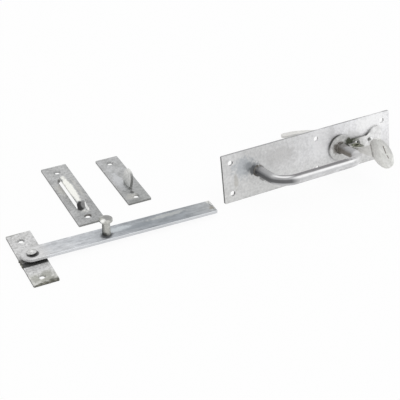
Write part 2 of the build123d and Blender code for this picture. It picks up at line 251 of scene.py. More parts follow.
def mark(tree, place, ragged, centre, radius, shape, soft):
    offset = put(tree, "ShaderNodeVectorMath", operation="SUBTRACT")
    offset.inputs[1].default_value = tuple(centre)
    tree.links.new(place, offset.inputs[0])
    squeeze = put(tree, "ShaderNodeVectorMath", operation="MULTIPLY")
    squeeze.inputs[1].default_value = shape
    tree.links.new(offset.outputs[0], squeeze.inputs[0])
    length = put(tree, "ShaderNodeVectorMath", operation="LENGTH")
    tree.links.new(squeeze.outputs[0], length.inputs[0])
    broken = maths(tree, "MULTIPLY_ADD", ragged, radius * soft, length.outputs["Value"])
    rim = radius * (1.0 + NOISE_MIDDLE * soft)
    fade = radius * (SHARPEST_RIM + SOFTER_RIM * soft)
    return span(tree, broken, rim - fade, rim + fade, 1.0, 0.0)


print("a mark's rim fades over", SHARPEST_RIM, "to", SHARPEST_RIM + SOFTER_RIM, "of its radius")

# %% [markdown]
# Three short helpers write down a look in millimetres: a spot is one mark, a
# ramp grows over a distance from a place, and an edge shading lays painted light
# and shade on every face that looks one way, such as a cut edge. Plain tuples
# would do, but they are hard to read in a row.

# %% How a look is written down
EDGE_START = 0.7
EDGE_FULL = 0.95


def spot(centre, size, tint, strength, shape=ROUND, soft=0.9):
    return centre, size * MM, tint, strength, shape, soft


def ramp(place, direction, start, full):
    begin = place.dot(direction)
    return direction, begin + start * MM, begin + full * MM


# Painted light and shade on every face that looks one way
def edge_shading(direction, tint, strength, *gates):
    return direction, EDGE_START, EDGE_FULL, tint, strength, *gates


FLOOR_LEVEL = Vector((0, 0, 0))
print("a ramp 2 to 3 mm above the floor:", ramp(FLOOR_LEVEL, UP, 2, 3))

# %% [markdown]
# ## The zinc recipe
# Galvanised steel is dipped in molten zinc. It dries to a soft grey with faint
# crystals (spangle), cloudy patches and fine pits. The pale and dull colours
# come first, fades lead across a piece, and crystals and specks darken both.

# %% Ground colour of the zinc
CLOUD_DETAIL = 4.0
CLOUD_RANGE = (0.38, 0.62)
CRYSTAL_SCALE = 330
SPECK_SCALE = 430
SPECK_DETAIL = 2.0
SPECK_RANGE = (0.34, 0.62)


def darken(tree, colour, pattern, strength):
    # Multiply a colour by a pattern whose darkest parts take away this much
    lowest = tone(255 * (1 - strength))
    return blend(tree, 1.0, colour, blend(tree, pattern, lowest, tone(255)), "MULTIPLY")


def ground_colour(tree, place, look):
    cloud = grain(tree, place, look["patch"], CLOUD_DETAIL, look["stretch"])
    share = span(tree, cloud, *CLOUD_RANGE, 0.0, 1.0)
    colour = blend(tree, share, tone(*look["pale"]), tone(*look["dull"]))
    for direction, start, full, tint in look["fades"]:
        colour = blend(tree, toward(tree, place, direction, start, full), colour, tone(*tint))
    crystal = crystals(tree, place, CRYSTAL_SCALE)
    colour = darken(tree, colour, crystal, look["spangle"])
    speck = grain(tree, place, SPECK_SCALE, SPECK_DETAIL, look["stretch"])
    speck = span(tree, speck, *SPECK_RANGE, 0.0, 1.0)
    return cloud, crystal, speck, darken(tree, colour, speck, look["speckle"])


print("crystals are about", round(1000 / CRYSTAL_SCALE, 1), "mm wide")

# %% [markdown]
# Over that go the sides that face one way, which paint light and shade by the
# way a surface faces, then the marks at one place. Dirt and painted shade go
# last, into the corners that the ambient occlusion node finds: grime collects
# there, where a cloth never reaches, and shade falls there too.

# %% Sides, marks and dirt
NOISE_RANGE = (0.3, 0.7)
RAGGED_SCALE = 300
RAGGED_MOST = 0.9
OPEN, CLOSED = 0.85, 0.25


def finished_colour(tree, place, facing, colour, look):
    # Sides tint the faces that look one way, mostly with painted light and shade
    for direction, start, full, tint, strength, *gates in look["sides"]:
        share = maths(tree, "MULTIPLY", toward(tree, facing, direction, start, full), strength)
        for gate in gates:
            share = maths(tree, "MULTIPLY", share, toward(tree, place, *gate))
        colour = blend(tree, share, colour, tone(*tint))
    ragged = span(tree, grain(tree, place, RAGGED_SCALE), *NOISE_RANGE, 0.0, RAGGED_MOST)
    for centre, radius, tint, strength, shape, soft in look["marks"]:
        ball = mark(tree, place, ragged, centre, radius, shape, soft)
        colour = blend(tree, maths(tree, "MULTIPLY", ball, strength), colour, tone(*tint))
    # Ambient occlusion darkens corners with dirt and painted shade together
    corner = put(tree, "ShaderNodeAmbientOcclusion", samples=8)
    corner.inputs["Distance"].default_value = look["reach"]
    dirt = span(tree, corner.outputs["AO"], CLOSED, OPEN, look["grime"], 0.0)
    return blend(tree, dirt, colour, tone(*look["dirt"]))


print("dirt starts where a corner is more than", round(1 - OPEN, 2), "closed")

# %% [markdown]
# Zinc is a metal, but a dull one. A full metal would mirror the room, and a
# plain paint would look like plastic, so the shader is part metallic with a
# middling roughness. The crystals and specks also raise the surface a hair.

# %% Zinc material
USUAL_LOOK = {
    "stretch": ROUND, "fades": (), "sides": (), "marks": (), "spangle": 0.07, "speckle": 0.08,
    "shine": 0.45, "rough": (0.40, 0.58), "bump": 0.3,
    # Corners darken by these two, as dirt and painted shade together
    "dirt": (70, 70, 67), "grime": 0.45, "reach": 5 * MM,
}
BUMP_HEIGHT = 0.25 * MM
CRYSTAL_HEIGHT = 0.3


def zinc(name, **changes):
    look = {**USUAL_LOOK, **changes}
    material = bpy.data.materials.new(name)
    material.use_nodes = True
    tree = material.node_tree
    shader = tree.nodes["Principled BSDF"]
    texture = put(tree, "ShaderNodeTexCoord")
    place, facing = texture.outputs["Object"], texture.outputs["Normal"]
    cloud, crystal, speck, colour = ground_colour(tree, place, look)
    colour = finished_colour(tree, place, facing, colour, look)
    tree.links.new(colour, shader.inputs["Base Color"])
    shader.inputs["Metallic"].default_value = look["shine"]
    roughness = span(tree, cloud, *NOISE_RANGE, *look["rough"])
    tree.links.new(roughness, shader.inputs["Roughness"])
    surface = put(tree, "ShaderNodeBump")
    surface.inputs["Strength"].default_value = look["bump"]
    surface.inputs["Distance"].default_value = BUMP_HEIGHT
    height = maths(tree, "MULTIPLY_ADD", crystal, CRYSTAL_HEIGHT, speck)
    tree.links.new(height, surface.inputs["Height"])
    tree.links.new(surface.outputs["Normal"], shader.inputs["Normal"])
    return material


print("usual zinc:", USUAL_LOOK["shine"], "metallic,", USUAL_LOOK["rough"], "rough")

# %% [markdown]
# ## Catch plate
# It is 2 mm sheet lying flat, a little darker to the right. Its cut edges get a
# painted dark line of shade, painted shade darkens its two countersunk holes,
# and a few pale and dark marks sit round the near one. One material with a few
# marks does it, because the shape itself is already in the solid.

# %% Catch plate
# Painted shade inside a countersunk hole
HOLE_SHADE = (105, 106, 106)
HOLE_SIZE = 3.4
CATCH_HOLE = 34.5
catch_top = beside(catch, 0, 0, 1)
catch_slant = Vector((1, -0.4, 0))
plate_zinc = zinc(
    "plate_zinc", pale=(198, 199, 200), dull=(184, 185, 185), patch=90, speckle=0.11,
    fades=[(*ramp(catch, catch_slant, -4, 24), (172, 174, 173))],
    # Painted shade on the cut edges
    sides=[edge_shading(LEFT, (118, 118, 118), 0.8), edge_shading(NEAR, (120, 120, 118), 0.7)],
    marks=[
        spot(beside(catch_top, 0, CATCH_HOLE), HOLE_SIZE, HOLE_SHADE, 0.3, soft=0.3),
        spot(beside(catch_top, 0, -CATCH_HOLE), HOLE_SIZE, HOLE_SHADE, 0.35, soft=0.3),
        spot(beside(catch_top, -4, -34), 5, (206, 205, 199), 0.6),
        spot(beside(catch_top, -1, -27), 2.2, (92, 92, 90), 0.8, soft=0.5),
        spot(beside(catch_top, -3, -42), 4, (128, 129, 128), 0.6, (0.6, 1.2, 1)),
        spot(beside(catch_top, -5, -2), 12, (208, 210, 213), 0.6, (3.0, 0.6, 1)),
    ],
)
print(plate_zinc.name)

# %% [markdown]
# ## Pivot plate
# The same sheet, but brighter and rougher. A painted shadow lies in a long strip
# under the swinging bar, so that mark is squeezed hard along X to stretch it.
# Its cut edges get painted shade, and brown zinc drips darken the near end.

# %% Pivot plate
PIVOT_HOLE = 30
pivot_top = Vector((rivet.x, rivet.y, pivot_high.z))
near_hole = beside(pivot_top, -1, -PIVOT_HOLE)
far_hole = beside(pivot_top, -1, PIVOT_HOLE)
near_right = Vector((pivot_high.x, pivot_low.y, pivot_high.z))
far_left = Vector((pivot_low.x, pivot_high.y, pivot_high.z))
left_edge = Vector((pivot_low.x, rivet.y, pivot_high.z))
bar_shadow_strip = Vector((middle("pivot_plate").x, rivet.y - 8.2 * MM, pivot_high.z))
pivot_zinc = zinc(
    "pivot_zinc", pale=(230, 230, 230), dull=(216, 216, 215), patch=120, speckle=0.14,
    spangle=0.09, bump=0.6,
    fades=[(*ramp(rivet, NEAR, 20, 30), (222, 222, 217))],
    # Painted shade on the cut edges
    sides=[edge_shading(LEFT, (62, 62, 60), 0.9), edge_shading(NEAR, (92, 92, 86), 0.8)],
    marks=[
        spot(far_hole, HOLE_SIZE, HOLE_SHADE, 0.55, soft=0.3),
        spot(near_hole, HOLE_SIZE, HOLE_SHADE, 0.3, soft=0.4),
        spot(beside(near_hole, 5, 2), 4.5, (154, 155, 147), 0.7),
        spot(beside(near_hole, -6, -1), 4, (158, 159, 150), 0.6, (1.2, 0.8, 1)),
        spot(beside(near_hole, 4, -6), 4, (150, 151, 141), 0.7, (0.6, 1.3, 1)),
        spot(beside(near_right, -4, 1), 4, (84, 84, 76), 0.85, (0.6, 1.5, 1)),
        spot(beside(left_edge, 1, -2), 3, (96, 94, 88), 0.8),
        spot(beside(far_left, 7, 0), 3, (140, 141, 137), 0.7, (0.4, 1.6, 1)),
        # Painted shadow in a strip under the bar
        spot(bar_shadow_strip, 3.7, (58, 58, 57), 0.95, (0.10, 1, 1), 0.12),
    ],
)
print(pivot_zinc.name, "with holes at", near_hole, far_hole)

# %% [markdown]
# ## Latch bar
# The bar is drawn flat stock, so its zinc is smoother and bluer. Stretching the
# noise along X turns clouds into faint streaks. Painted shadow darkens it round
# the rivet's head and the foot of the knob, its near side and rounded end are
# painted light, and it is darker over its middle stretch.

# %% Bar
bar_top = Vector((rivet.x, (bar_low.y + bar_high.y) / 2, bar_high.z))
bar_end = Vector((bar_high.x, bar_top.y, bar_high.z))
round_end_side = Vector((-0.35, -0.94, 0))
bar_zinc = zinc(
    "bar_zinc", pale=(220, 222, 225), dull=(206, 209, 213), stretch=(0.2, 1, 1), patch=170,
    shine=0.5, rough=(0.38, 0.52), speckle=0.10,
    fades=[
        (*ramp(rivet, RIGHT, 30, 75), (190, 194, 199)),
        (*ramp(rivet, RIGHT, 72, 112), (158, 163, 168)),
        (*ramp(rivet, RIGHT, 150, 178), (184, 187, 189)),
        (*ramp(rivet, LEFT, -20, -8), (222, 222, 222)),
    ],
    sides=[
        # Painted light on the near side and on the rounded end's side
        (NEAR, 0.35, 0.75, (212, 214, 217), 0.85),
        (round_end_side, 0.35, 0.75, (206, 206, 206), 0.9, ramp(rivet, LEFT, -14, -9)),
    ],
    marks=[
        # Painted shadow round the rivet's head and at the knob's foot
        spot(beside(rivet, 0.5, -1.6, 3), 5.6, (46, 46, 46), 0.9, (1, 1, 0.3), 0.1),
        spot(beside(knob, -1, -2.5, -9), 5.4, (66, 68, 72), 0.85, (0.9, 1, 0.4), 0.4),
        spot(beside(bar_top, 103, -1.5), 5, (134, 140, 146), 0.6, (0.3, 1.5, 0.5)),
        spot(beside(bar_top, 84, 2), 5, (206, 212, 216), 0.7, (0.35, 1.6, 0.5)),
        spot(beside(bar_top, 135, 3), 4, (196, 198, 196), 0.55, (0.2, 1.6, 0.5)),
        spot(beside(bar_end, -3, -5), 2.2, (146, 140, 128), 0.7, (0.8, 0.8, 1)),
        spot(beside(bar_end, -2, 7), 2.2, (232, 232, 228), 0.7, (0.8, 0.6, 1)),
    ],
)
print(bar_zinc.name, "runs to", bar_end)

# %% [markdown]
# ## Knob and rivet
# Both are small turned pieces that stand up from the bar. They are too small
# for a pattern to read, so light and shade have to tell them: a dark side on
# the left of the knob's stem, a bright cap, a dark ring below the rivet's head.

# %% Knob and rivet
knob_cap = Vector((knob.x, knob.y, corners("bar_knob")[1].z))
rivet_head = Vector((rivet.x, rivet.y, bar_high.z))
dark_side = Vector((-0.896, 0.443, 0))
knob_zinc = zinc(
    "knob_zinc", pale=(216, 216, 211), dull=(196, 196, 190), patch=200, speckle=0.12,
    dirt=(64, 64, 60), grime=0.6,
    sides=[
        (dark_side, 0.22, 0.50, (76, 78, 73), 0.92),
        (dark_side, 0.93, 0.99, (206, 206, 200), 0.8),
        ((-0.35, -0.75, -0.3), 0.45, 0.7, (196, 196, 190), 0.6),
    ],
    marks=[
        spot(beside(knob_cap, 2.4, 1.0), 5.2, (136, 136, 135), 0.85, (1, 0.9, 1), 0.5),
        spot(beside(knob_cap, -4.2, -2.6), 2.4, (250, 250, 247), 0.9),
        spot(beside(knob, -3.4, -2.6, -9), 4.0, (52, 54, 50), 0.85, (1, 1, 0.8), 0.4),
    ],
)
rivet_zinc = zinc(
    "rivet_zinc", pale=(230, 230, 229), dull=(208, 208, 206), patch=260, speckle=0.16,
    dirt=(45, 45, 44), grime=0.8,
    sides=[
        ((0.1, -1, 0), 0.45, 0.8, (36, 36, 36), 0.95),
        (-NEAR, 0.3, 0.8, (110, 110, 110), 0.8),
    ],
    marks=[spot(beside(rivet_head, 0.2, 0.2, 3), 1.4, (255, 255, 254), 0.7)],
)
print(knob_zinc.name, rivet_zinc.name, "cap at", knob_cap)

# %% [markdown]
# ## Keeper
# The strap is sheared from the keeper's sheet and pressed up. Its top carries a
# painted highlight, its cut side is painted bright with light, and its near leg
# is painted dark with shade, with a painted highlight on its right and a lip of
# painted light below it. The plate's cut edges and holes get painted shade.
# Gates by height keep the bright side on the strap and off the plate's edge.

# %% Keeper
KEEPER_HOLE = 44
keeper_top = Vector((keeper.x, keeper.y, 2 * MM))
strap = Vector((keeper.x, keeper.y - 1 * MM, 0))
keeper_slant = Vector((1, -0.35, 0))
above_plate = ramp(FLOOR_LEVEL, UP, 2.2, 3.0)
below_strap_top = ramp(FLOOR_LEVEL, -UP, -8.2, -7.4)
strap_top = ramp(FLOOR_LEVEL, UP, 7.4, 8.0)
keeper_zinc = zinc(
    "keeper_zinc", pale=(198, 199, 199), dull=(184, 185, 185), patch=90, speckle=0.13,
    fades=[(*ramp(keeper, keeper_slant, 2, 22), (174, 175, 175))],
    sides=[
        # Painted shade on the cut edges, painted light on the strap's cut side
        edge_shading(LEFT, (104, 104, 104), 0.85, ramp(keeper, LEFT, 11, 13)),
        edge_shading(NEAR, (128, 128, 126), 0.7),
        edge_shading(LEFT, (246, 246, 244), 0.95, above_plate, below_strap_top),
        edge_shading(LEFT, (120, 120, 118), 0.9, strap_top),
    ],
    marks=[
        # Painted shade in the two holes
        spot(beside(keeper_top, 0, KEEPER_HOLE), HOLE_SIZE, HOLE_SHADE, 0.45, soft=0.3),
        spot(beside(keeper_top, 0, -KEEPER_HOLE), 3.5, (84, 80, 76), 0.85, soft=0.3),
        spot(beside(keeper_top, -8, 12), 7, (206, 205, 200), 0.6, (1.6, 0.7, 1)),
        spot(beside(keeper_top, 8.4, 8), 12, (202, 201, 196), 0.5, (6, 0.6, 1)),
        # Painted highlight on the strap's top, painted shade and highlight on its near leg,
        # painted light on the lip below
        spot(beside(strap, -1.5, 0, 9), 24, (246, 246, 240), 0.95, (7, 0.95, 5), 0.5),
        spot(beside(strap, -1.9, -28.6, 5), 3.6, (34, 34, 34), 0.97, (1, 0.7, 0.7), 0.2),
        spot(beside(strap, 1.6, -28, 5.4), 2.9, (122, 122, 122), 0.9, (1, 0.7, 0.7), 0.3),
        spot(beside(strap, 4.4, -29, 4), 1.9, (240, 240, 238), 0.9, (1, 0.3, 0.45), 0.2),
        spot(beside(strap, 0, -34.5, 2), 3.6, (208, 208, 204), 0.6, (0.7, 1.8, 1)),
    ],
)
print(keeper_zinc.name, "strap at", strap)

# %% [markdown]
# ## Hook
# The hook is a thin blade on edge, the palest piece of the four sets. Its near
# edge is in painted shade, and painted shade greys its feet where it is riveted
# to its plate. It is also a little darker towards the bottom.

# %% Hook
hook_middle = (hook_low + hook_high) / 2
near_foot = Vector((hook_middle.x, hook_low.y + 4.0 * MM, 3.0 * MM))
far_foot = Vector((hook_middle.x, hook_high.y - 2.0 * MM, 3.0 * MM))
hook_zinc = zinc(
    "hook_zinc", pale=(244, 244, 242), dull=(230, 231, 228), patch=170, speckle=0.10,
    fades=[(*ramp(FLOOR_LEVEL, -UP, -16, -4), (212, 213, 211))],
    sides=[
        ((0.1, -1, 0), 0.2, 0.7, (116, 117, 115), 0.85),
        ((0, 0.9, 0.4), 0.2, 0.9, (206, 206, 203), 0.6),
    ],
    marks=[
        # Painted shade at the feet, where the blade meets the plate
        spot(near_foot, 3.2, (172, 173, 171), 0.7, soft=0.5),
        spot(far_foot, 2.6, (150, 151, 149), 0.7),
    ],
)
print(hook_zinc.name, "stands at", hook_middle)

# %% [markdown]
# ## Handle plate
# The big plate is the brightest, more so to the right. Weld soot and flux with
# painted shade darken it round the left weld, a painted shadow lies under the
# left leg, grime with painted shade fills the slot under the hinge, and its end
# and top edges get painted shade. A few pale clouds break up the rest. Each mark
# is a spot placed by the plate's own directions.

# %% Handle plate
handle_zinc = zinc(
    "handle_zinc", pale=(223, 223, 223), dull=(217, 217, 217), patch=45, spangle=0.04,
    speckle=0.06, dirt=(60, 60, 60), grime=0.5, reach=4 * MM,
    fades=[
        (*ramp(FLOOR_LEVEL, RIGHT, 50, 130), (246, 246, 248)),
        (*ramp(plate_start, -upward, -4, 22), (222, 222, 221)),
    ],
    sides=[
        # Painted shade on the end and top edges
        edge_shading(-along, (74, 74, 74), 0.9),
        edge_shading(upward, (136, 136, 137), 0.8),
        edge_shading(-outward, (186, 187, 188), 0.6),
    ],
    marks=[
        # Weld soot and flux with painted shade round the left weld
        spot(on_handle(24.5, 0, 8), 10, (168, 174, 180), 0.6, (0.8, 1, 1)),
        spot(on_handle(32, 0, 5), 6.5, (110, 114, 118), 0.5, (0.85, 1, 1)),
        spot(on_handle(34.5, 0, 2.5), 4.6, (82, 84, 86), 0.75, (0.85, 1, 1), 0.6),
        # Painted shadow under the left leg
        spot(on_handle(46, 0, -7.5), 4.6, (120, 120, 119), 0.8, (0.8, 1, 1), 0.5),
        spot(on_handle(52, 0, -12), 4, (160, 160, 159), 0.7, (0.7, 1, 1), 0.5),
        spot(on_handle(14, 0, -4), 5, (176, 172, 164), 0.5, (2.5, 1, 0.6)),
        spot(on_handle(66, 0, 9), 12, (192, 191, 190), 0.5, (0.7, 1, 1.2)),
        spot(on_handle(112, 0, 12), 13, (240, 240, 241), 0.6, (1.3, 1, 0.8)),
        spot(on_handle(128, 0, 19), 6, (200, 200, 201), 0.5, (1.6, 1, 0.6)),
        spot(on_handle(178, 0, 17), 12, (255, 255, 255), 0.55, (0.6, 1, 1)),
        spot(on_handle(152, 0, 7), 7, (196, 196, 195), 0.5, (0.7, 1, 1)),
        # Grime and painted shade in the slot under the hinge
        spot(on_handle(156, -1.2, 0), 7, (50, 54, 42), 0.95, (0.8, 1, 1.6)),
    ],
)
print(handle_zinc.name)

# %% [markdown]
# ## Pull handle
# The pull handle is round bar. On a round bar in a studio, long soft bands run
# with its length. Lamps and screens could throw them, but they would light all
# the other pieces too. So the bands are laid by the way its surface faces, and
# a gate keeps each band on its own leg or on the front run.

# %% Pull handle
front_run = ramp(plate_start, outward, 31, 37)
legs = ramp(plate_start, -outward, -33, -26)
beyond_leg = ramp(plate_start, outward, 26, 33)
left_end = ramp(plate_start, -along, -59, -50)
right_end = ramp(plate_start, along, 100, 112)
back_top = Vector((0, 0.594, 0.804))
front_top = Vector((0, -0.669, 0.743))
front_low = Vector((0, -0.931, 0.365))
under_side = Vector((-0.245, -0.495, -0.834))
bend_top = Vector((-0.30, -0.13, 0.945))
grip_zinc = zinc(
    "grip_zinc", pale=(228, 228, 229), dull=(216, 216, 217), patch=190, stretch=(0.25, 1, 1),
    shine=0.4, rough=(0.42, 0.56), speckle=0.06, dirt=(74, 72, 70),
    # Each side below is a painted band of light and shade; the legs are painted darker with
    # shade, and the right leg's band is brown grime with painted shade
    sides=[
        (back_top, 0.28, 0.60, (116, 114, 116), 0.92, front_run),
        (front_top, 0.96, 0.995, (234, 234, 234), 0.7, front_run),
        (front_low, 0.965, 0.995, (190, 190, 192), 0.6, front_run),
        (UP, -3.0, -2.0, (164, 164, 165), 0.85, legs),
        (under_side, -0.52, 0.02, (82, 82, 84), 0.92, left_end),
        (under_side, 0.50, 0.74, (206, 206, 208), 0.85, left_end, beyond_leg),
        (bend_top, 0.955, 0.99, (254, 254, 254), 0.8, left_end, beyond_leg),
        (under_side, -0.50, 0.05, (120, 114, 107), 0.9, legs, right_end),
    ],
    marks=[
        # Weld soot with painted shade at the left foot, brown grime at the right foot, a pale
        # patch on the front run
        spot(on_handle(40.5, 3), 5, (66, 67, 68), 0.6),
        spot(on_handle(137, 8), 7, (104, 99, 92), 0.6),
        spot(on_handle(130, 38, 2), 8, (236, 236, 236), 0.5, (0.5, 1, 1)),
    ],
)
print(grip_zinc.name)

# %% [markdown]
# ## Thumb bracket
# The bracket is a pressed strap round the handle's right foot. Greenish grime
# with painted shade fills its hinge, a painted shadow runs along its slanted edge
# and round its rivet, and the tab at the right end is paler, nearly white.

# %% Thumb bracket
tab = ramp(plate_start, along, 160, 171)
slanted_edge = upward * 0.75 - along * 0.6
slanted_part = ramp(plate_start, -along, -177, -171)
bracket_rivet_shade = middle("bracket_rivet") + (along * -2.2 + outward * 2 + upward * 0.6) * MM
bracket_zinc = zinc(
    "bracket_zinc", pale=(232, 232, 231), dull=(218, 218, 217), patch=120, speckle=0.07,
    dirt=(40, 42, 34), grime=0.8, reach=4 * MM,
    fades=[(*tab, (248, 248, 248))],
    # Painted shadow along the slanted edge
    sides=[(slanted_edge, 0.6, 0.85, (60, 60, 58), 0.9, slanted_part)],
    marks=[
        # Grime with painted shade in the hinge, painted shadow round the rivet
        spot(on_handle(131.5, 3, 0.5), 4.6, (104, 99, 92), 0.85, (1, 1, 0.8), 0.6),
        spot(on_handle(151, 3), 8, (84, 88, 68), 0.75),
        spot(on_handle(148, 3, 5.5), 5, (58, 62, 46), 0.9, (0.7, 1, 1.3), 0.8),
        spot(on_handle(150, 9, -4), 7, (88, 92, 74), 0.8),
        spot(on_handle(160, 0.5, -3), 5, (150, 150, 146), 0.5),
        spot(bracket_rivet_shade, 1.9, (84, 84, 80), 0.8, soft=0.7),
    ],
)
print(bracket_zinc.name)

# %% [markdown]
# ## Thumb lever and its pin
# The lever is one forging, so its pad, neck and tail share a finish that is
# almost matt. Two thin dark lines cross the pad. A line could be cut into the
# mesh, but the solid must stay whole, so it is a row of small spots on a line.
# The pad's rim gets painted shade, greenish grime with painted shade darkens the
# eye at the hinge, and the pin's end is painted black with shade. The seed makes
# a line that wanders come out the same on every run.

# %% Thumb lever and pin
WANDER_SCALE = 300
WANDER_SEED = 1
noise.seed_set(WANDER_SEED)


def line(start, end, steps, wander=0.0, seed=0.0):
    # Points from start to end, which can wander a little as a hand would
    points = []
    for i in range(steps + 1):
        point = start.lerp(end, i / steps)
        drift = noise.noise_vector(point * WANDER_SCALE + Vector((seed, seed, 0)))
        points.append(point + drift * wander)
    return points


PAD_LINE_SIZE = 0.62
pad_line = line(on_handle(154.6, 50.4, 11), on_handle(155.7, 52.7, 4.4), 12)
short_pad_line = line(on_handle(156.3, 54.0, 2), on_handle(157.0, 55.3, -0.8), 5)
pad_rim = upward * 0.75 + outward * 0.66
past_neck = ramp(plate_start, outward, 28, 32)
lever_zinc = zinc(
    "lever_zinc", pale=(248, 248, 245), dull=(238, 238, 234), patch=120, shine=0.3,
    rough=(0.45, 0.6), dirt=(48, 50, 40), grime=0.6, speckle=0.05, spangle=0.04,
    fades=[(*ramp(plate_start, outward, 44, 34), (230, 229, 226))],
    # Painted shade on the pad's rim
    sides=[(pad_rim, 0.62, 0.95, (158, 158, 157), 0.7, past_neck)],
    marks=[
        # Greenish grime with painted shade at the eye and hinge
        spot(lever_eye, 6.4, (88, 92, 74), 0.85),
        spot(on_handle(153.5, 11, 2), 3, (46, 50, 36), 0.9),
        spot(on_handle(153, 16.5, 2), 3.4, (78, 82, 66), 0.8),
        *(spot(point, PAD_LINE_SIZE, (96, 84, 78), 0.8, soft=0.4) for point in pad_line),
        *(spot(point, PAD_LINE_SIZE, (120, 110, 104), 0.7, soft=0.4) for point in short_pad_line),
    ],
)
pin_zinc = zinc(
    "pin_zinc", pale=(178, 180, 158), dull=(120, 123, 102), patch=300,
    # Painted shade on the pin's lower side, painted black shade in its end
    sides=[(-upward, 0.2, 0.9, (20, 20, 16), 0.9)],
    marks=[spot(lever_eye, 2.7, (12, 13, 9), 1.0, (1, 1, 0.25), 0.1)],
)
print(lever_zinc.name, pin_zinc.name, len(pad_line) + len(short_pad_line), "spots of scratch")

# %% [markdown]
# ## Dress the solids
# Each solid keeps its own shape and place, and only takes a finish. Pieces that
# were dipped together, such as the rivet and its washer, share one.

# %% Dress the solids
FINISH = {
    "pivot_plate": pivot_zinc, "bar_spacer": rivet_zinc, "latch_bar": bar_zinc,
    "bar_rivet": rivet_zinc, "bar_knob": knob_zinc, "keeper_plate": keeper_zinc,
    "catch_plate": plate_zinc, "catch_hook": hook_zinc, "handle_plate": handle_zinc,
    "pull_handle": grip_zinc, "thumb_bracket": bracket_zinc, "bracket_rivet": bracket_zinc,
    "lever_pin": pin_zinc, "thumb_lever": lever_zinc,
}
for name, finish in FINISH.items():
    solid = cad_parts[name]
    solid.data.materials.clear()
    solid.data.materials.append(finish)
print(len(FINISH), "solids dressed")

# %% [markdown]
# ## Lumps of weld and zinc
# Welds and zinc runs are never even. Sculpting would give one lump only, so a
# bead is a round rope swept along a line, with noise swelling and pinching it,
# which is how a weld pool really freezes. An open bead tapers at its ends.

# %% The rope of a bead
BEAD_SIDES = 10
LUMP_SCALE = 420
END_SIZE = 0.35
END_GROWTH = 1.3


def ring_round(point, across, normal, radius, lump, taper, seed):
    ring = []
    for j in range(BEAD_SIDES):
        angle = math.tau * j / BEAD_SIDES
        way = across * math.cos(angle) + normal * math.sin(angle)
        swell = noise.noise((point + way * radius) * LUMP_SCALE + Vector((seed, 0, 0)))
        ring.append(point + way * radius * taper * (1 + lump * swell))
    return ring


def rope(points, radius, lump, seed, normal, closed):
    mesh = bmesh.new()
    rings = []
    count = len(points)
    for i, point in enumerate(points):
        before = points[(i - 1) % count] if closed or i else point
        after = points[(i + 1) % count] if closed or i < count - 1 else point
        across = (after - before).normalized().cross(normal).normalized()
        growth = END_SIZE + END_GROWTH * math.sin(math.pi * (i + 0.5) / count)
        taper = 1.0 if closed else min(1.0, growth)
        places = ring_round(point, across, normal, radius, lump, taper, seed)
        rings.append([mesh.verts.new(place) for place in places])
    following = rings[1:] + rings[:1] if closed else rings[1:]
    for here, there in zip(rings, following):
        for j in range(BEAD_SIDES):
            k = (j + 1) % BEAD_SIDES
            mesh.faces.new((here[j], here[k], there[k], there[j]))
    if not closed:
        mesh.faces.new(rings[0][::-1])
        mesh.faces.new(rings[-1])
    bmesh.ops.recalc_face_normals(mesh, faces=mesh.faces)
    return mesh


print("a bead has", BEAD_SIDES, "sides")

# %% [markdown]
# A new piece has to say which moving body it rides on and which finish group it
# belongs to. One function does both for every bead, so that none is forgotten.

# %% A bead as a piece of the latch
def bead(name, points, radius, lump, body, finish, seed, normal=UP, closed=False):
    mesh = rope(points, radius, lump, seed, normal, closed)
    data = bpy.data.meshes.new(name)
    mesh.to_mesh(data)
    mesh.free()
    for polygon in data.polygons:
        polygon.use_smooth = True
    data.materials.append(finish)
    piece = bpy.data.objects.new(name, data)
    scene.collection.objects.link(piece)
    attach(piece, body)
    print(name, len(data.polygons), "faces")


# %% [markdown]
# ## Welds
# The pull handle is welded to its plate on the left and through the bracket's
# eye on the right, so each foot gets a ring of weld. Burnt zinc leaves a weld
# darker and rougher than the sheet round it.

# %% Welds at the handle's feet
RING_STEPS = 72
RING_WAVES = 4
weld_zinc = zinc(
    "weld_zinc", pale=(140, 137, 132), dull=(104, 101, 96), patch=260, speckle=0.2,
    spangle=0.03, bump=0.8, rough=(0.5, 0.7), dirt=(74, 72, 68), grime=0.5,
)


def weld_ring(centre, radius, wander):
    # A ring of points on the plate, nearer and further from its centre by a little
    points = []
    own_pattern = centre * 100
    for i in range(RING_STEPS):
        turn = math.tau * i / RING_STEPS
        way = along * math.cos(turn) + upward * math.sin(turn)
        drift = wander * noise.noise(way * RING_WAVES + own_pattern)
        points.append(centre + way * (radius + drift) * MM)
    return points


for name, ring, radius, lump, seed in (
    ("weld_left", weld_ring(on_handle(40.2, -0.1), 4.9, 0.8), 1.2 * MM, 0.5, 2.0),
    ("weld_right", weld_ring(on_handle(136.6, 2.9), 5.1, 0.8), 1.3 * MM, 0.6, 7.0),
):
    bead(name, ring, radius, lump, "base", weld_zinc, seed, outward, True)

# %% [markdown]
# ## Zinc fringe
# Zinc dripped off the near edge of the pivot plate, ran along its left side and
# froze there, ragged and brown grey. Both are thin beads along an edge.

